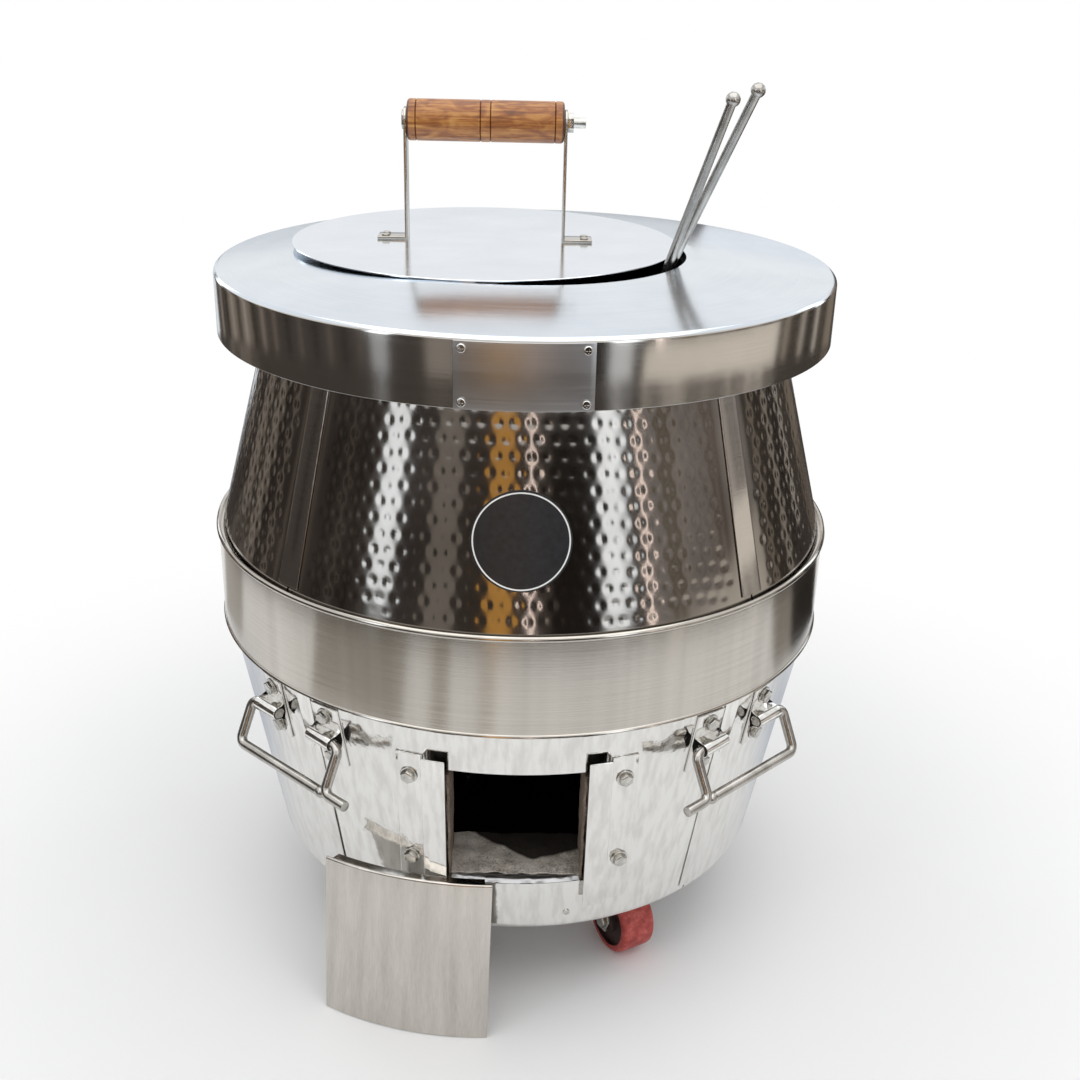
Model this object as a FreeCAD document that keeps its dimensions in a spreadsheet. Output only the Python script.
"""A free-standing stainless steel tandoor: a clay pot cased in sheet steel, on four castors.

Millimetres, +Z up, the front with the fire opening towards -Y.
The origin is on the floor, on the axis of the pot.
"""
import FreeCAD, Part
import math
import os
from types import SimpleNamespace

import Sketcher
from FreeCAD import Placement, Rotation, Vector

SIZES = {
    # Sheet metal and the fits between pieces
    "sheet": 1.5,
    "cover_sheet": 1.2,
    "seat_gap": 0.3,
    "running_gap": 0.08,
    # Castors, which carry the casing
    "wheel_diameter": 75.0,
    "wheel_width": 38.0,
    "wheel_hub_radius": 15.0,
    "wheel_rim_depth": 8.0,
    "wheel_dish": 4.0,
    "wheel_edge": 3.0,
    "caster_headroom": 22.5,
    "caster_inset": 65.0,
    "caster_azimuth": 37.0,
    "caster_yaw": -61.0,
    "caster_trail": 30.0,
    "caster_plate_margin": 7.0,
    "caster_plate_side": 2.0,
    "caster_plate_thickness": 3.0,
    "caster_bolt_inset": 7.0,
    "caster_bolt_radius": 5.5,
    "caster_bolt_head": 3.0,
    "king_pin_radius": 6.0,
    "king_pin_head": 9.0,
    "king_pin_head_thickness": 3.0,
    "fork_web_margin": 2.0,
    "fork_web_thickness": 4.0,
    "fork_cheek": 3.0,
    "fork_clearance": 2.0,
    "fork_foot": 12.0,
    "axle_radius": 5.0,
    "axle_head_radius": 8.0,
    "axle_head": 4.0,
    # Lower casing and its floor
    "lower_height": 254.0,
    "lower_top_gap": 2.5,
    "lower_foot_radius": 265.0,
    "foot_bend": 14.0,
    "foot_lip": 32.0,
    "lower_tuck": 12.0,
    "lower_seam_lead": 2.2,
    "panel_gap_angle": 0.4,
    "lower_strip_angle": 3.6,
    "pan_thickness": 3.0,
    "pan_margin": 3.0,
    # Belly band
    "band_height": 101.0,
    "band_radius": 317.0,
    "band_ledge": 16.0,
    "band_hem": 3.0,
    "band_hem_stand": 1.2,
    # Hood
    "hood_height": 198.0,
    "hood_foot_gap": 2.5,
    "hood_top_inset": 59.0,
    "hood_tuck": 4.0,
    "hood_reach": 51.0,
    "hood_seam_azimuth": 43.0,
    "hood_strip_angle": 4.9,
    "badge_radius": 44.0,
    "badge_thickness": 1.0,
    "badge_gap": 0.6,
    "badge_drop": 125.0,
    # Top deck
    "deck_radius": 305.0,
    "skirt_height": 61.0,
    "deck_rise": 10.0,
    "deck_edge": 4.0,
    "mouth_radius": 158.0,
    "mouth_land": 12.0,
    "collar_depth": 8.0,
    "deck_ring": 5.0,
    # Name plate
    "plate_angle": 21.6,
    "plate_rise": 0.5,
    "plate_top_gap": 3.5,
    "plate_screw_radius": 3.6,
    "plate_screw_head": 1.8,
    "plate_screw_angle": 1.3,
    "plate_screw_inset": 6.0,
    # Clay pot, hearth and fill
    "pot_wall": 32.0,
    "pot_mouth_step": 3.0,
    "pot_belly_height": 240.0,
    "hearth_depth": 40.0,
    "fill_belly": 61.0,
    "fill_foot": 19.5,
    "fill_margin": 3.0,
    "fill_headroom": 24.0,
    # Fire opening
    "opening_width": 132.0,
    "opening_height": 140.0,
    "opening_sill": 67.0,
    "tunnel_sheet": 2.0,
    "tunnel_inset": 13.0,
    # Door rails
    "rail_flange": 24.0,
    "rail_stand": 8.0,
    "rail_slot": 22.0,
    "rail_below": 30.0,
    "rail_above": 14.0,
    "rail_bolt_drop": 26.0,
    "rail_bolt_rise": 54.0,
    "bolt_radius": 7.0,
    "bolt_head": 5.0,
    # Fire door, leaning on the left rail
    "door_width": 170.0,
    "door_height": 173.0,
    "door_radius": 290.0,
    "door_sheet": 1.5,
    "door_lip": 10.0,
    "door_lean": 5.5,
    "door_turn": -14.4,
    "door_side": 33.0,
    # Carry handles and saddles
    "handle_azimuth": 43.0,
    "handle_rod": 5.0,
    "handle_stand": 9.0,
    "handle_side_gap": 1.0,
    "handle_arm": 45.0,
    "handle_stub": 30.0,
    "handle_bend": 8.0,
    "handle_weld": 1.5,
    "handle_splay": 25.0,
    "saddle_inner": 24.0,
    "saddle_width": 32.0,
    "saddle_height": 66.0,
    "saddle_top_gap": 7.0,
    "saddle_sheet": 2.0,
    "saddle_bolt_offset": 22.0,
    # Lid
    "lid_radius": 195.0,
    "lid_sheet": 2.0,
    "crescent": 23.0,
    "bracket_height": 116.0,
    "bracket_width": 25.0,
    "bracket_strip": 3.0,
    "bracket_foot": 31.0,
    "grip_length": 155.0,
    "grip_radius": 20.0,
    "grip_groove": 1.5,
    "grip_groove_width": 4.0,
    "grip_groove_inset": 14.0,
    "lid_bolt_radius": 5.0,
    "lid_bolt_head": 6.0,
    "lid_bolt_head_radius": 9.5,
    "lid_bolt_tail": 12.0,
    "rivet_radius": 4.0,
    "rivet_height": 1.8,
    "rivet_inset": 8.0,
    # Skewers standing in the pot
    "skewer_radius": 4.5,
    "skewer_front_length": 774.0,
    "skewer_back_length": 806.0,
    "skewer_ball": 7.0,
    "skewer_point": 24.0,
    "skewer_tip": 1.5,
    "skewer_mouth_gap": 4.5,
    "skewer_front_bearing": -24.5,
    "skewer_back_bearing": -19.5,
    "skewer_front_foot_x": -63.0,
    "skewer_front_foot_y": -107.0,
    "skewer_back_foot_x": -113.0,
    "skewer_back_foot_y": -57.0,
}

UP = Vector(0, 0, 1)
doc = FreeCAD.newDocument("Tandoor")


class Size:
    """A length or angle with its number and its expression in the sheet."""

    def __init__(self, number, text):
        self.number = number
        self.text = text

    def _with(self, sign, other, number):
        return Size(number, "({} {} {})".format(self.text, sign, as_size(other).text))

    def __add__(self, other):
        return self._with("+", other, self.number + as_size(other).number)

    def __sub__(self, other):
        return self._with("-", other, self.number - as_size(other).number)

    def __mul__(self, other):
        return self._with("*", other, self.number * as_size(other).number)

    def __truediv__(self, other):
        return self._with("/", other, self.number / as_size(other).number)

    def __neg__(self):
        return Size(-self.number, "(-{})".format(self.text))


def as_size(value):
    """Take a plain number or a Size, give a Size."""
    if isinstance(value, Size):
        return value
    return Size(float(value), "{:.9g}".format(value))


def write_sheet():
    """Put the driving dimensions in a spreadsheet and give them as named sizes."""
    sheet = doc.addObject("Spreadsheet::Sheet", "Sizes")
    for row, (name, number) in enumerate(SIZES.items(), start=1):
        sheet.set("A{}".format(row), name)
        sheet.set("B{}".format(row), str(number))
        sheet.setAlias("B{}".format(row), name)
    doc.recompute()
    return SimpleNamespace(**{name: Size(float(sheet.get(name)), "Sizes." + name) for name in SIZES})


d = write_sheet()

# Heights of the stack, from the floor up
wheel_centre = d.wheel_diameter / 2
pan_under = d.wheel_diameter + d.caster_headroom
shell_foot = pan_under - d.sheet
pan_top = pan_under + d.pan_thickness
band_bottom = shell_foot + d.lower_height
band_top = band_bottom + d.band_height
lower_top = band_bottom + d.lower_tuck
hood_foot = band_top - d.hood_tuck
skirt_bottom = band_top + d.hood_height
hood_top = skirt_bottom + d.hood_reach
rim = skirt_bottom + d.skirt_height
mouth_top = rim + d.deck_rise
collar_foot = mouth_top - d.collar_depth
lid_top = mouth_top + d.lid_sheet
grip_axis = lid_top + d.bracket_height
hearth_top = pan_top + d.hearth_depth
sill = shell_foot + d.opening_sill
lintel = sill + d.opening_height
handle_axis = band_bottom - d.saddle_top_gap - d.saddle_height / 2

# Radii that follow the deck, the band and the foot of the casing
hood_top_radius = d.deck_radius - d.hood_top_inset
hood_foot_radius = d.band_radius - d.sheet - d.hood_foot_gap
lower_top_radius = d.band_radius - d.sheet - d.lower_top_gap
pot_belly_radius = d.band_radius - d.band_ledge - d.fill_margin - d.fill_belly - d.pot_wall
fill_foot_radius = d.lower_foot_radius - d.foot_bend - d.sheet - d.fill_margin
pot_foot_radius = fill_foot_radius - d.fill_foot - d.pot_wall
lower_seam_azimuth = d.handle_azimuth - d.lower_seam_lead

# Tapers of the casing: the outer radius at a height
lower_taper = (lower_top_radius - d.lower_foot_radius) / (lower_top - shell_foot)
hood_taper = (hood_top_radius - hood_foot_radius) / (hood_top - hood_foot)


def lower_radius(height):
    return d.lower_foot_radius + lower_taper * (as_size(height) - shell_foot)


def hood_radius(height):
    return hood_foot_radius + hood_taper * (as_size(height) - hood_foot)


def bind(item, **sizes):
    """Tie properties of an object to the sheet."""
    for name, size in sizes.items():
        item.setExpression(name, as_size(size).text)


def move_to(item, x, y, z):
    """Tie the place of an object to the sheet."""
    for axis, size in zip("xyz", (x, y, z)):
        item.setExpression("Placement.Base." + axis, as_size(size).text)


def origin_plane(body, role):
    return next(plane for plane in body.Origin.OriginFeatures if plane.Role == role)


def outline(body, role, corners):
    """A closed sketch of straight lines whose corners are tied to the sheet."""
    sketch = body.newObject("Sketcher::SketchObject", body.Name + "Outline")
    sketch.AttachmentSupport = (origin_plane(body, role), [""])
    sketch.MapMode = "FlatFace"
    points = [Vector(as_size(x).number, as_size(y).number, 0) for x, y in corners]
    count = len(points)
    for index, point in enumerate(points):
        sketch.addGeometry(Part.LineSegment(point, points[(index + 1) % count]), False)
    for index in range(count):
        sketch.addConstraint(Sketcher.Constraint("Coincident", index, 2, (index + 1) % count, 1))
    for index, corner in enumerate(corners):
        for kind, size in zip(("DistanceX", "DistanceY"), corner):
            size = as_size(size)
            number = sketch.addConstraint(Sketcher.Constraint(kind, -1, 1, index, 1, size.number))
            sketch.setExpression("Constraints[{}]".format(number), size.text)
    return sketch


def turned(name, corners, angle=360):
    """A body turned about Z from (radius, height) corners, centred on +X when it is a sector."""
    body = doc.addObject("PartDesign::Body", name)
    sketch = outline(body, "XZ_Plane", corners)
    turn = body.newObject("PartDesign::Revolution", name + "Turn")
    turn.Profile = sketch
    turn.ReferenceAxis = (sketch, ["V_Axis"])
    turn.Midplane = True
    bind(turn, Angle=angle)
    doc.recompute()
    return body


def padded(name, role, corners, thickness):
    """A plate of the given outline, its thickness centred on the plane."""
    body = doc.addObject("PartDesign::Body", name)
    sketch = outline(body, role, corners)
    pad = body.newObject("PartDesign::Pad", name + "Pad")
    pad.Profile = sketch
    pad.Midplane = True
    bind(pad, Length=thickness)
    doc.recompute()
    return body


def round_ring(body, radius, ring_radius, height):
    """Round the circular edge of a turned body that has this radius and height."""
    base = body.Tip
    wanted = []
    for index, edge in enumerate(base.Shape.Edges, start=1):
        curve = edge.Curve
        if not isinstance(curve, Part.Circle):
            continue
        same_ring = abs(curve.Radius - ring_radius.number) < 1e-4
        if same_ring and abs(curve.Center.z - height.number) < 1e-4:
            wanted.append("Edge{}".format(index))
    fillet = body.newObject("PartDesign::Fillet", body.Name + "Round")
    fillet.Base = (base, wanted)
    bind(fillet, Radius=radius)
    doc.recompute()


def box(name, corner, lengths):
    block = doc.addObject("Part::Box", name)
    bind(block, Length=lengths[0], Width=lengths[1], Height=lengths[2])
    move_to(block, *corner)
    return block


def cylinder(name, foot, radius, height, direction=UP):
    rod = doc.addObject("Part::Cylinder", name)
    rod.Placement = Placement(Vector(), Rotation(UP, direction))
    bind(rod, Radius=radius, Height=height)
    move_to(rod, *foot)
    return rod


def cone(name, foot, foot_radius, top_radius, height):
    taper = doc.addObject("Part::Cone", name)
    bind(taper, Radius1=foot_radius, Radius2=top_radius, Height=height)
    move_to(taper, *foot)
    return taper


def ball(name, centre, radius):
    sphere = doc.addObject("Part::Sphere", name)
    bind(sphere, Radius=radius)
    move_to(sphere, *centre)
    return sphere


def hexagon(name, foot, radius, height, direction=UP):
    head = doc.addObject("Part::Prism", name)
    head.Polygon = 6
    head.Placement = Placement(Vector(), Rotation(UP, direction))
    bind(head, Circumradius=radius, Height=height)
    move_to(head, *foot)
    return head


def cut(name, base, tool):
    result = doc.addObject("Part::Cut", name)
    result.Base = base
    result.Tool = tool
    return result


def fuse(name, *pieces):
    result = doc.addObject("Part::MultiFuse", name)
    result.Shapes = list(pieces)
    return result


def common(name, *pieces):
    result = doc.addObject("Part::MultiCommon", name)
    result.Shapes = list(pieces)
    return result


def solid_cone(name, radius_at, bottom, top, offset):
    """The space inside a taper of the casing, grown by an offset, between two heights."""
    low = radius_at(bottom) + offset
    high = radius_at(top) + offset
    return cone(name, (0, 0, bottom), low, high, as_size(top) - bottom)


def layer(name, radius_at, bottom, top, inside, outside):
    """A skin that follows a taper of the casing between two offsets from it."""
    outer = solid_cone(name + "Outer", radius_at, bottom, top, as_size(outside))
    inner = solid_cone(name + "Inner", radius_at, bottom, top, as_size(inside))
    return cut(name, outer, inner)


nodes = []


def node(item, label):
    """Name a finished piece; its label names its file."""
    item.Label = label
    nodes.append(item)
    return item


def turn_about_axis(angle):
    return Placement(Vector(), Rotation(UP, angle))


def copies(label, master, placements):
    """A node of placed copies of one master piece."""
    doc.recompute()
    solids = []
    for placement in placements:
        shape = master.Shape.copy()
        shape.Placement = placement.multiply(shape.Placement)
        solids.extend(shape.Solids)
    item = doc.addObject("Part::Feature", label.title().replace("_", ""))
    item.Shape = solids[0] if len(solids) == 1 else Part.makeCompound(solids)
    return node(item, label)


FRONT = -90
FACES = {"front": FRONT, "right": 0, "back": 90, "left": 180}


def seat_on(radius_at, azimuth_x, height, lift):
    """The place of a small part that sits on the casing at the front, its axis square to the sheet."""
    height = as_size(height)
    radius = radius_at(height).number + lift
    taper = (radius_at(height * 2).number - radius_at(height).number) / height.number
    outward = Vector(azimuth_x, -math.sqrt(radius ** 2 - azimuth_x ** 2), 0)
    square = Vector(outward.x / radius, outward.y / radius, -taper)
    return Placement(outward + UP * height.number, Rotation(UP, square))


def skirt_radius(_height):
    """The skirt is upright: one radius at every height."""
    return d.deck_radius


# Casing


def casing_panels(part, corners, seam_azimuth):
    """Four sheet panels round the axis, the front and back ones twice the seam's azimuth wide."""
    spans = {
        "front": seam_azimuth * 2 - d.panel_gap_angle,
        "back": seam_azimuth * 2 - d.panel_gap_angle,
        "right": as_size(180) - seam_azimuth * 2 - d.panel_gap_angle,
        "left": as_size(180) - seam_azimuth * 2 - d.panel_gap_angle,
    }
    panels = {}
    for face, angle in FACES.items():
        body = turned(part.title() + face.title(), corners, spans[face])
        body.Placement = turn_about_axis(angle)
        panels[face] = body
    return panels


def seam_strips(label, radius_at, bottom, top, angle, seam_azimuth):
    """Cover strips on the four seams of a taper."""
    inside = d.seat_gap
    outside = d.seat_gap + d.cover_sheet
    corners = [
        (radius_at(bottom) + inside, bottom),
        (radius_at(bottom) + outside, bottom),
        (radius_at(top) + outside, top),
        (radius_at(top) + inside, top),
    ]
    strip = turned(label.title().replace("_", "") + "Strip", corners, angle)
    seam = seam_azimuth.number
    azimuths = (seam, -seam, 180 - seam, 180 + seam)
    copies(label, strip, [turn_about_axis(FRONT + azimuth) for azimuth in azimuths])


def make_top_deck():
    """Coned deck with a collar at the mouth, a skirt, and a ring that stands on the hood."""
    land = d.mouth_radius + d.mouth_land
    slope = d.deck_rise / (d.deck_radius - land)
    ring_inner = hood_top_radius - d.deck_ring
    ring_outer = hood_top_radius + d.deck_ring

    def underside(radius):
        return rim - d.sheet + slope * (d.deck_radius - radius)

    inner_skirt = d.deck_radius - d.sheet
    corners = [
        (d.mouth_radius, collar_foot),
        (d.mouth_radius, mouth_top),
        (land, mouth_top),
        (d.deck_radius, rim),
        (d.deck_radius, skirt_bottom),
        (inner_skirt, skirt_bottom),
        (inner_skirt, underside(inner_skirt)),
        (ring_outer, underside(ring_outer)),
        (ring_outer, hood_top),
        (ring_inner, hood_top),
        (ring_inner, underside(ring_inner)),
        (land, underside(land)),
        (d.mouth_radius + d.sheet, underside(land)),
        (d.mouth_radius + d.sheet, collar_foot),
    ]
    body = turned("TopDeck", corners)
    round_ring(body, d.deck_edge, d.deck_radius, rim)
    node(body, "top_deck")


def make_name_plate():
    """Plain plate on the skirt, with a screw in each corner."""
    inside = d.deck_radius + d.seat_gap
    outside = inside + d.sheet
    low = skirt_bottom + d.plate_rise
    high = rim - d.plate_top_gap
    corners = [(inside, low), (outside, low), (outside, high), (inside, high)]
    body = turned("NamePlate", corners, d.plate_angle)
    body.Placement = turn_about_axis(FRONT)
    node(body, "name_plate")

    screw = cylinder("PlateScrew", (0, 0, 0), d.plate_screw_radius, d.plate_screw_head)
    half_angle = math.radians(d.plate_angle.number / 2 - d.plate_screw_angle.number)
    half_width = outside.number * math.sin(half_angle)
    lift = outside.number - d.deck_radius.number + d.seat_gap.number
    places = []
    for side in (-1, 1):
        for height in (low + d.plate_screw_inset, high - d.plate_screw_inset):
            places.append(seat_on(skirt_radius, side * half_width, height, lift))
    copies("name_plate_screws", screw, places)


def make_hood():
    """Four coned panels between the band's ledge and the deck's ring, strips and a round badge."""
    corners = [
        (hood_foot_radius, hood_foot),
        (hood_top_radius, hood_top),
        (hood_top_radius - d.sheet, hood_top),
        (hood_foot_radius - d.sheet, hood_foot),
    ]
    for face, body in casing_panels("hood", corners, d.hood_seam_azimuth).items():
        node(body, "hood_panel_" + face)
    foot = band_top + d.band_hem
    seam_strips("hood_strips", hood_radius, foot, hood_top - d.deck_ring, d.hood_strip_angle,
                d.hood_seam_azimuth)

    centre = skirt_bottom - d.badge_drop
    outside = d.badge_gap + d.badge_thickness
    skin = layer("BadgeSkin", hood_radius, hood_foot, hood_top, d.badge_gap, outside)
    punch = doc.addObject("Part::Cylinder", "BadgePunch")
    bind(punch, Radius=d.badge_radius, Height=d.badge_radius)
    punch.Placement = seat_on(hood_radius, 0, centre, -d.badge_radius.number / 2)
    node(common("RoundBadge", skin, punch), "round_badge")


def make_belly_band():
    """Band with hemmed edges; its ledges rest on the lower panels and carry the hood."""
    inner = d.band_radius - d.sheet
    hem = d.band_radius + d.band_hem_stand
    ledge = d.band_radius - d.band_ledge
    corners = [
        (inner, band_bottom),
        (hem, band_bottom),
        (hem, band_bottom + d.band_hem),
        (d.band_radius, band_bottom + d.band_hem),
        (d.band_radius, band_top - d.band_hem),
        (hem, band_top - d.band_hem),
        (hem, band_top),
        (inner, band_top),
        (inner, hood_foot),
        (ledge, hood_foot),
        (ledge, hood_foot - d.sheet),
        (inner, hood_foot - d.sheet),
        (inner, lower_top + d.sheet),
        (ledge, lower_top + d.sheet),
        (ledge, lower_top),
        (inner, lower_top),
    ]
    body = turned("BellyBand", corners)
    for height in (band_bottom, band_top):
        round_ring(body, d.band_hem_stand, hem, height)
    node(body, "belly_band")


def make_lower_casing():
    """Tapered panels with a turned-in foot, the front one in four round the fire, and the floor pan."""
    lip = d.lower_foot_radius - d.foot_lip
    inner_foot = lower_radius(pan_under) - d.sheet
    corners = [
        (lower_top_radius, lower_top),
        (lower_top_radius - d.sheet, lower_top),
        (inner_foot, pan_under),
        (lip, pan_under),
        (lip, shell_foot),
        (d.lower_foot_radius, shell_foot),
    ]
    panels = casing_panels("lower", corners, lower_seam_azimuth)
    for body in panels.values():
        round_ring(body, d.foot_bend, d.lower_foot_radius, shell_foot)
        round_ring(body, d.foot_bend - d.sheet, inner_foot, pan_under)
    part_front_panel(panels.pop("front"))
    for face, body in panels.items():
        node(body, "lower_panel_" + face)

    bend_end = shell_foot + d.foot_bend
    seam_strips("lower_strips", lower_radius, bend_end, band_bottom - d.seat_gap, d.lower_strip_angle,
                lower_seam_azimuth)
    pan_radius = d.lower_foot_radius - d.foot_bend - d.pan_margin
    node(cylinder("BasePan", (0, 0, pan_under), pan_radius, d.pan_thickness), "base_pan")


def part_front_panel(sheet):
    """Part the front panel round the fire opening: two cheeks, a lintel above it and a sill below."""
    half = d.opening_width / 2
    inner = half - d.seat_gap
    reach = lower_top_radius

    def piece(name, start, end, low, high):
        block = box(name.title() + "Block", (start, -reach, low), (end - start, reach, high - low))
        node(common("Lower" + name.title(), sheet, block), "lower_" + name.replace(" ", "_"))

    piece("cheek left", -reach, -half, shell_foot, lower_top)
    piece("cheek right", half, reach, shell_foot, lower_top)
    piece("lintel", -inner, inner, lintel, lower_top)
    piece("sill", -inner, inner, shell_foot, sill)


# Oven


def make_oven():
    """Clay pot on the pan, hearth floor inside it, fill round it and the sleeve of the fire opening."""
    pot_mouth = d.mouth_radius - d.pot_mouth_step
    belly = pan_top + d.pot_belly_height
    pot_corners = [
        (pot_foot_radius, pan_top),
        (pot_foot_radius, hearth_top),
        (pot_belly_radius, belly),
        (pot_mouth, collar_foot),
        (pot_mouth + d.pot_wall, collar_foot),
        (pot_belly_radius + d.pot_wall, belly),
        (pot_foot_radius + d.pot_wall, hearth_top),
        (pot_foot_radius + d.pot_wall, pan_top),
    ]
    pot = turned("PotWall", pot_corners)

    margin = d.sheet + d.fill_margin
    skin = d.pot_wall + d.seat_gap
    fill_top = hood_top - d.fill_headroom
    neck = (fill_top - belly) / (collar_foot - belly)
    neck_radius = pot_belly_radius + (pot_mouth - pot_belly_radius) * neck
    ledge = d.band_radius - d.band_ledge - d.fill_margin
    bend_end = shell_foot + d.foot_bend
    fill_corners = [
        (fill_foot_radius, pan_top),
        (lower_radius(bend_end) - margin - d.fill_margin, bend_end + d.foot_bend),
        (ledge, lower_top),
        (ledge, hood_foot),
        (hood_radius(fill_top) - margin, fill_top),
        (neck_radius + skin, fill_top),
        (pot_belly_radius + skin, belly),
        (pot_foot_radius + skin, hearth_top),
        (pot_foot_radius + skin, pan_top),
    ]
    fill = turned("FillRing", fill_corners)

    half = d.opening_width / 2
    wall = d.tunnel_sheet
    depth = lower_top_radius

    def bore(name, grow):
        corner = (-half - grow, -depth, sill - grow)
        return box(name, corner, (d.opening_width + grow * 2, depth, d.opening_height + grow * 2))

    loose = wall + d.seat_gap
    node(cut("ClayPot", pot, bore("PotBore", loose)), "clay_pot")
    node(cut("InsulationFill", fill, bore("FillBore", loose)), "insulation_fill")
    hearth_radius = pot_foot_radius - d.seat_gap
    node(cylinder("HearthFloor", (0, 0, pan_top), hearth_radius, d.hearth_depth), "hearth_floor")

    corner = (-half - wall, -depth, sill - wall)
    tunnel_end = pot_foot_radius + d.tunnel_inset
    lengths = (d.opening_width + wall * 2, depth - tunnel_end, d.opening_height + wall * 2)
    tube = cut("TunnelTube", box("TunnelBlock", corner, lengths), bore("TunnelBore", as_size(0)))
    inside = solid_cone("TunnelTrim", lower_radius, shell_foot, lower_top, -(d.sheet + d.seat_gap))
    node(common("VentTunnel", tube, inside), "vent_tunnel")


# Door


def make_door_rails():
    """Z-section rails that follow the front panel: a bolted flange, a web and a lip over the door."""
    low = sill - d.rail_below
    high = lintel + d.rail_above
    inner = d.opening_width / 2
    web = inner + d.rail_slot
    outer = web + d.rail_flange
    stand = d.seat_gap + d.rail_stand
    depth = lower_top_radius + d.rail_stand * 2
    thickness = d.sheet

    def slab(name, side, start, end):
        x = start if side > 0 else -end
        return box(name, (x, -depth, low), (end - start, depth, high - low))

    for side, hand in ((-1, "left"), (1, "right")):
        name = "Rail" + hand.title()
        flange = common(name + "Flange", layer(name + "Foot", lower_radius, low, high, d.seat_gap,
                                               d.seat_gap + thickness), slab(name + "A", side, web, outer))
        wall = common(name + "Web", layer(name + "Full", lower_radius, low, high, d.seat_gap, stand),
                      slab(name + "B", side, web - thickness, web))
        lip = common(name + "Lip", layer(name + "Top", lower_radius, low, high, stand - thickness, stand),
                     slab(name + "C", side, inner, web))
        node(fuse("DoorRail" + hand.title(), flange, wall, lip), "door_rail_" + hand)

    head = hexagon("RailBolt", (0, 0, 0), d.bolt_radius, d.bolt_head)
    lift = d.seat_gap.number + thickness.number + d.running_gap.number
    across = (web + d.rail_flange / 2).number
    places = []
    for side in (-1, 1):
        for height in (high - d.rail_bolt_drop, low + d.rail_bolt_rise):
            places.append(seat_on(lower_radius, side * across, height, lift))
    copies("door_rail_bolts", head, places)


def make_fire_door():
    """Curved door sheet with a folded lip, standing on the floor with its lip against the left rail."""
    inner = d.door_radius - d.door_sheet
    lip = inner - d.door_lip
    corners = [
        (inner, as_size(0)),
        (d.door_radius, as_size(0)),
        (d.door_radius, d.door_height),
        (lip, d.door_height),
        (lip, d.door_height - d.door_sheet),
        (inner, d.door_height - d.door_sheet),
    ]
    half_angle = math.asin(d.door_width.number / 2 / d.door_radius.number)
    sheet = turned("DoorSheet", corners, math.degrees(half_angle) * 2)

    lean = math.radians(d.door_lean.number)
    towards = FRONT + d.door_turn.number
    reach = lip_reach(lip.number, lean, towards)
    foot = reach + (d.door_radius - lip).number * math.cos(lean) + d.door_height.number * math.sin(lean)
    lift = (d.door_radius.number - inner.number * math.cos(half_angle)) * math.sin(lean)
    tilt = Placement(Vector(foot, -d.door_side.number, lift), Rotation(Vector(0, 1, 0), -d.door_lean.number))
    stand = tilt.multiply(Placement(Vector(-d.door_radius.number, 0, 0), Rotation()))
    copies("fire_door", sheet, [turn_about_axis(towards).multiply(stand)])


def lip_reach(lip, lean, towards):
    """How far out the middle of the door's lip lies when its curved edge just clears the left rail."""
    top = d.door_height.number * math.cos(lean)
    face = lower_radius(top).number + d.rail_stand.number + d.seat_gap.number * 2
    rail_inner = d.opening_width.number / 2
    samples = 8
    reach = 0
    for step in range(samples + 1):
        x = -rail_inner - d.rail_slot.number * step / samples
        point = Vector(x, -math.sqrt(face ** 2 - x ** 2), 0)
        local = Rotation(UP, -towards).multVec(point)
        across = local.y + d.door_side.number
        sag = lip - math.sqrt(lip ** 2 - across ** 2)
        reach = max(reach, local.x + sag * math.cos(lean))
    return reach


# Carry handles


def bent_rod(points, bend, radius):
    """A round rod along straight runs joined by tangent bends."""
    edges = []
    start = points[0]
    for before, corner, after in zip(points, points[1:], points[2:]):
        into = (corner - before).normalize()
        out = (after - corner).normalize()
        turn = into.getAngle(out)
        trim = bend * math.tan(turn / 2)
        first = corner - into * trim
        last = corner + out * trim
        towards = (out - into).normalize()
        middle = corner + towards * (bend / math.cos(turn / 2) - bend)
        edges.append(Part.makeLine(start, first))
        edges.append(Part.Arc(first, middle, last).toShape())
        start = last
    edges.append(Part.makeLine(start, points[-1]))
    path = Part.Wire(edges)
    ring = Part.Wire([Part.makeCircle(radius, points[0], (points[1] - points[0]).normalize())])
    return path.makePipeShell([ring], True, False)


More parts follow.
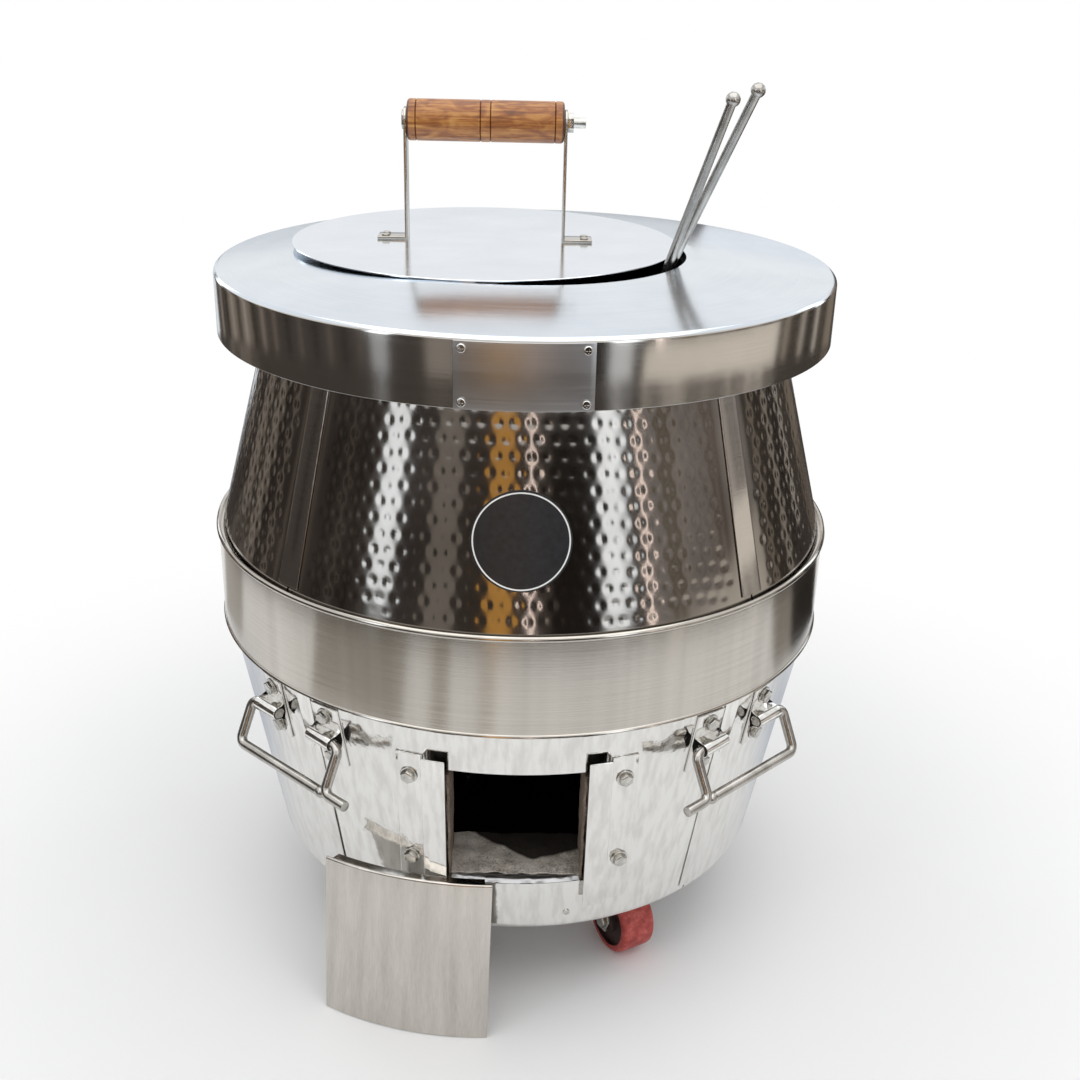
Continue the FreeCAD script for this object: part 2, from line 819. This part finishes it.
def make_carry_handles():
    """Drop handles hinged in pairs of formed saddles bolted to the lower casing."""
    stand = (lower_radius(handle_axis) + d.handle_stand).number
    splay = math.radians(d.handle_splay.number)
    centre = Vector(0, -stand, handle_axis.number)
    down = Vector(0, -math.sin(splay), -math.cos(splay))
    half = (d.saddle_inner + d.saddle_width + d.handle_bend + d.handle_side_gap).number
    grip = d.handle_arm.number

    def spot(along, drop):
        return centre + Vector(along, 0, 0) + down * drop

    def handle(stub_side):
        """One rod makes an arm, the grip and its stub end; the other arm is welded to the grip."""
        pin = d.saddle_inner.number
        end = half + d.handle_stub.number
        long_run = [spot(-pin, 0), spot(-half, 0), spot(-half, grip), spot(end, grip)]
        short_run = [spot(pin, 0), spot(half, 0), spot(half, grip)]
        mirrored = [[Vector(stub_side * p.x, p.y, p.z) for p in run] for run in (long_run, short_run)]
        rods = [bent_rod(run, d.handle_bend.number, d.handle_rod.number) for run in mirrored]
        weld = Part.makeSphere((d.handle_rod + d.handle_weld).number, mirrored[1][-1])
        return rods[0].fuse(weld).fuse(rods[1]).removeSplitter()

    azimuth = d.handle_azimuth.number
    for label, angle, stub_side in (
        ("front_left", -azimuth, 1),
        ("front_right", azimuth, -1),
        ("back_right", 180 - azimuth, 1),
        ("back_left", 180 + azimuth, -1),
    ):
        item = doc.addObject("Part::Feature", "Handle" + label.title().replace("_", ""))
        item.Shape = handle(stub_side)
        item.Placement = turn_about_axis(angle)
        node(item, "carry_handle_" + label)

    azimuths = (-azimuth, azimuth, 180 - azimuth, 180 + azimuth)
    turns = [turn_about_axis(angle) for angle in azimuths]
    make_saddles(turns)


def make_saddles(turns):
    """A saddle each side of a handle: a plate on the casing with a barrel round the rod."""
    low = handle_axis - d.saddle_height / 2
    high = handle_axis + d.saddle_height / 2
    stand = lower_radius(handle_axis) + d.handle_stand
    barrel = d.handle_rod + d.running_gap + d.saddle_sheet
    outside = d.seat_gap + d.saddle_sheet
    sideways = Vector(1, 0, 0)
    saddles = []
    for side in (-1, 1):
        name = "Saddle" + ("Right" if side > 0 else "Left")
        start = d.saddle_inner if side > 0 else -(d.saddle_inner + d.saddle_width)

        def block(part, near, depth, bottom, tall):
            return box(name + part, (start, -near, bottom), (d.saddle_width, depth, tall))

        skin = layer(name + "Skin", lower_radius, low, high, d.seat_gap, outside)
        plate = common(name + "Plate", skin, block("Patch", stand, stand, low, d.saddle_height))
        clear = solid_cone(name + "Clear", lower_radius, low, high, d.seat_gap)
        web = cut(name + "Web", block("Block", stand, stand, handle_axis - barrel, barrel * 2), clear)
        foot = (start, -stand, handle_axis)
        tube = cylinder(name + "Barrel", foot, barrel, d.saddle_width, sideways)
        bore = cylinder(name + "Bore", foot, d.handle_rod + d.running_gap, d.saddle_width, sideways)
        saddles.append(cut(name, fuse(name + "Whole", plate, web, tube), bore))
    pair = doc.addObject("Part::Compound", "SaddlePair")
    pair.Links = saddles
    copies("handle_saddles", pair, turns)

    head = hexagon("SaddleBolt", (0, 0, 0), d.bolt_radius, d.bolt_head)
    lift = outside.number + d.running_gap.number
    across = d.saddle_inner.number + d.saddle_width.number / 2
    places = []
    for turn in turns:
        for side in (-1, 1):
            for offset in (-d.saddle_bolt_offset, d.saddle_bolt_offset):
                spot = seat_on(lower_radius, side * across, handle_axis + offset, lift)
                places.append(turn.multiply(spot))
    copies("handle_bolts", head, places)


# Lid


def make_lid():
    """Flat lid pushed back and to the left over the mouth, a wooden grip between two strip brackets."""
    shift = (d.lid_radius - d.mouth_radius + d.crescent) * math.sqrt(0.5)
    x = -shift
    y = shift
    node(cylinder("LidPlate", (x, y, mouth_top), d.lid_radius, d.lid_sheet), "lid_plate")

    half_grip = d.grip_length / 2
    strip = d.bracket_strip
    half_width = d.bracket_width / 2
    inner = half_grip + d.seat_gap
    bore = d.lid_bolt_radius + d.running_gap
    sideways = Vector(1, 0, 0)
    for side, hand in ((-1, "left"), (1, "right")):
        name = "Bracket" + hand.title()
        upright_x = x + inner if side > 0 else x - inner - strip
        foot_x = upright_x if side > 0 else upright_x + strip - d.bracket_foot
        upright = box(name + "Upright", (upright_x, y - half_width, lid_top),
                      (strip, d.bracket_width, d.bracket_height))
        crown = cylinder(name + "Crown", (upright_x, y, grip_axis), half_width, strip, sideways)
        foot = box(name + "Foot", (foot_x, y - half_width, lid_top),
                   (d.bracket_foot, d.bracket_width, strip))
        hole = cylinder(name + "Hole", (upright_x, y, grip_axis), bore, strip, sideways)
        whole = fuse(name + "Whole", upright, crown, foot)
        node(cut("Lid" + name, whole, hole), "lid_bracket_" + hand)

    node(make_grip(x, y, half_grip, bore), "lid_grip")

    shank_start = x - inner - strip
    shank_length = (inner + strip) * 2 + d.lid_bolt_head + d.lid_bolt_tail
    shank = cylinder("LidShank", (shank_start, y, grip_axis), d.lid_bolt_radius, shank_length, sideways)
    head = hexagon("LidHead", (shank_start - d.lid_bolt_head, y, grip_axis), d.lid_bolt_head_radius,
                   d.lid_bolt_head, sideways)
    node(fuse("LidBolt", shank, head), "lid_bolt")
    nut_x = x + inner + strip
    nut = hexagon("LidNut", (nut_x, y, grip_axis), d.lid_bolt_head_radius, d.lid_bolt_head, sideways)
    nut_hole = cylinder("LidNutHole", (nut_x, y, grip_axis), bore, d.lid_bolt_head, sideways)
    node(cut("LidNuts", nut, nut_hole), "lid_nuts")

    rivet = cylinder("LidRivet", (0, 0, 0), d.rivet_radius, d.rivet_height)
    reach = (inner + d.bracket_foot - d.rivet_inset).number
    across = half_width.number / 2
    centre = Vector(x.number, y.number, (lid_top + strip).number)
    corners = [Vector(side, end, 0) for side in (-reach, reach) for end in (-across, across)]
    places = [Placement(centre + corner, Rotation()) for corner in corners]
    copies("lid_rivets", rivet, places)


def make_grip(x, y, half_grip, bore):
    """Turned wooden grip with a groove near each end and a pair in the middle."""
    groove = d.grip_groove_width
    middle = half_grip
    full = d.grip_radius
    low = d.grip_radius - d.grip_groove
    length = d.grip_length
    starts = (d.grip_groove_inset, middle - groove * 1.5, middle + groove * 0.5,
              length - d.grip_groove_inset - groove)
    corners = [(bore, as_size(0)), (full, as_size(0))]
    for start in starts:
        corners += [(full, start), (low, start), (low, start + groove), (full, start + groove)]
    corners += [(full, length), (bore, length)]
    body = turned("LidGrip", corners)
    spot = Vector((x - half_grip).number, y.number, grip_axis.number)
    body.Placement = Placement(spot, Rotation(UP, Vector(1, 0, 0)))
    return body


# Skewers


def make_skewers():
    """Two long rods with ball ends that stand on the hearth and lean out through the mouth."""
    reach = (d.mouth_radius - d.skewer_radius - d.skewer_mouth_gap).number
    for hand, length, bearing, foot_x, foot_y in (
        ("front", d.skewer_front_length, d.skewer_front_bearing,
         d.skewer_front_foot_x, d.skewer_front_foot_y),
        ("back", d.skewer_back_length, d.skewer_back_bearing,
         d.skewer_back_foot_x, d.skewer_back_foot_y),
    ):
        name = "Skewer" + hand.title()
        point = cone(name + "Point", (0, 0, 0), d.skewer_tip, d.skewer_radius, d.skewer_point)
        shaft = cylinder(name + "Shaft", (0, 0, d.skewer_point), d.skewer_radius, length - d.skewer_point)
        knob = ball(name + "Ball", (0, 0, length), d.skewer_ball)
        skewer = fuse(name + "Whole", point, shaft, knob)

        angle = math.radians(bearing.number)
        crossing = Vector(reach * math.cos(angle), reach * math.sin(angle), mouth_top.number)
        foot = Vector(foot_x.number, foot_y.number, hearth_top.number)
        along = crossing - foot
        lift = d.seat_gap.number + d.skewer_tip.number * math.sin(along.getAngle(UP))
        place = Placement(foot + UP * lift, Rotation(UP, along))
        copies("skewer_" + hand, skewer, [place])


# Castors


def make_casters():
    """Swivel castors: bolted plate with a king pin, fork, axle and wheel, four times."""
    plate_under = pan_under - d.caster_plate_thickness
    web_top = plate_under - d.seat_gap
    web_under = web_top - d.fork_web_thickness
    pin_foot = web_under - d.seat_gap - d.king_pin_head_thickness

    cheek_inner = d.wheel_width / 2 + d.fork_clearance
    cheek_centre = cheek_inner + d.fork_cheek / 2
    fork_half = cheek_inner + d.fork_cheek
    web_radius = fork_half + d.fork_web_margin
    half_length = web_radius + d.caster_plate_margin
    half_width = web_radius + d.caster_plate_side
    plate = box("CasterPlate", (-half_length, -half_width, plate_under),
                (half_length * 2, half_width * 2, d.caster_plate_thickness))
    pin = cylinder("KingPin", (0, 0, pin_foot), d.king_pin_radius, plate_under - pin_foot)
    head = cylinder("KingPinHead", (0, 0, pin_foot), d.king_pin_head, d.king_pin_head_thickness)
    mounted = fuse("CasterMount", plate, pin, head)

    sideways = Vector(0, 1, 0)
    trail = d.caster_trail
    foot = d.fork_foot
    cheek_corners = [
        (-foot, web_under),
        (web_radius, web_under),
        (trail + foot, wheel_centre + foot / 4),
        (trail + foot / 2, wheel_centre - foot),
        (trail - foot / 2, wheel_centre - foot),
        (trail - foot, wheel_centre + foot / 4),
    ]
    cheeks = []
    for side, hand in ((-1, "Left"), (1, "Right")):
        cheek = padded("ForkCheek" + hand, "XZ_Plane", cheek_corners, d.fork_cheek)
        cheek.Placement = Placement(Vector(0, side * cheek_centre.number, 0), Rotation())
        cheeks.append(cheek)
    web = cylinder("ForkWeb", (0, 0, web_under), web_radius, d.fork_web_thickness)
    pin_hole = cylinder("ForkPinHole", (0, 0, web_under), d.king_pin_radius + d.running_gap,
                        d.fork_web_thickness)
    axle_hole = cylinder("ForkAxleHole", (trail, -fork_half, wheel_centre), d.axle_radius + d.running_gap,
                         fork_half * 2, sideways)
    fork = cut("Fork", fuse("ForkWhole", web, *cheeks), fuse("ForkHoles", pin_hole, axle_hole))

    axle_pin = cylinder("AxlePin", (trail, -fork_half, wheel_centre), d.axle_radius, fork_half * 2, sideways)
    near_head = hexagon("AxleNearHead", (trail, -fork_half - d.axle_head, wheel_centre),
                        d.axle_head_radius, d.axle_head, sideways)
    far_head = hexagon("AxleFarHead", (trail, fork_half, wheel_centre), d.axle_head_radius, d.axle_head,
                       sideways)
    axle = fuse("Axle", axle_pin, near_head, far_head)

    wheel = make_wheel(cheek_inner)
    wheel.Placement = Placement(Vector(trail.number, 0, wheel_centre.number), Rotation(Vector(1, 0, 0), 90))

    bolt = hexagon("CasterBolt", (0, 0, plate_under - d.caster_bolt_head), d.caster_bolt_radius,
                   d.caster_bolt_head)
    circle = (d.lower_foot_radius - d.foot_lip - d.caster_inset).number
    side = circle * math.sin(math.radians(d.caster_azimuth.number))
    reach = circle * math.cos(math.radians(d.caster_azimuth.number))
    spots = {
        "front_left": Vector(-side, -reach, 0),
        "front_right": Vector(side, -reach, 0),
        "back_left": Vector(-side, reach, 0),
        "back_right": Vector(side, reach, 0),
    }
    plates = [Placement(spot, Rotation()) for spot in spots.values()]
    copies("caster_plates", mounted, plates)
    across = (half_length - d.caster_bolt_inset).number
    along = (half_width - d.caster_bolt_inset).number
    corners = [Vector(x, y, 0) for x in (-across, across) for y in (-along, along)]
    copies("caster_bolts", bolt, [Placement(spot + corner, Rotation()) for spot in spots.values()
                                  for corner in corners])
    swing = Rotation(UP, d.caster_yaw.number)
    for hand, spot in spots.items():
        place = Placement(spot, swing)
        copies("caster_fork_" + hand, fork, [place])
        copies("caster_axle_" + hand, axle, [place])
        copies("caster_wheel_" + hand, wheel, [place])


def make_wheel(cheek_inner):
    """Solid tread with rounded edges on a dished centre, its hub filling the fork."""
    bore = d.axle_radius + d.running_gap
    tread = d.wheel_diameter / 2
    half = d.wheel_width / 2
    hub = cheek_inner - d.seat_gap
    rim_inner = tread - d.wheel_rim_depth
    dish = half - d.wheel_dish
    edge = d.wheel_edge
    corners = [
        (bore, -hub),
        (d.wheel_hub_radius, -hub),
        (d.wheel_hub_radius, -dish),
        (rim_inner, -dish),
        (rim_inner, -half),
        (tread - edge, -half),
        (tread, -half + edge),
        (tread, half - edge),
        (tread - edge, half),
        (rim_inner, half),
        (rim_inner, dish),
        (d.wheel_hub_radius, dish),
        (d.wheel_hub_radius, hub),
        (bore, hub),
    ]
    return turned("Wheel", corners)


def check(items):
    """Stop before anything is written if an object failed or a shape is not sound."""
    doc.recompute()
    for item in doc.Objects:
        if {"Invalid", "Error"} & set(item.State):
            raise RuntimeError("{} failed: {}".format(item.Name, item.State))
    for item in items:
        if item.Shape.isNull() or not item.Shape.isValid() or not item.Shape.Solids:
            raise RuntimeError("{} has no sound shape".format(item.Label))


def write(items):
    os.makedirs("parts", exist_ok=True)
    for item in items:
        item.Shape.exportStep("parts/{}.step".format(item.Label))
        print("{:26s} solids {:2d}  volume {:12.1f}".format(item.Label, len(item.Shape.Solids),
                                                          item.Shape.Volume))


make_top_deck()
make_name_plate()
make_hood()
make_belly_band()
make_lower_casing()
make_oven()
make_door_rails()
make_fire_door()
make_carry_handles()
make_lid()
make_skewers()
make_casters()
check(nodes)
write(nodes)
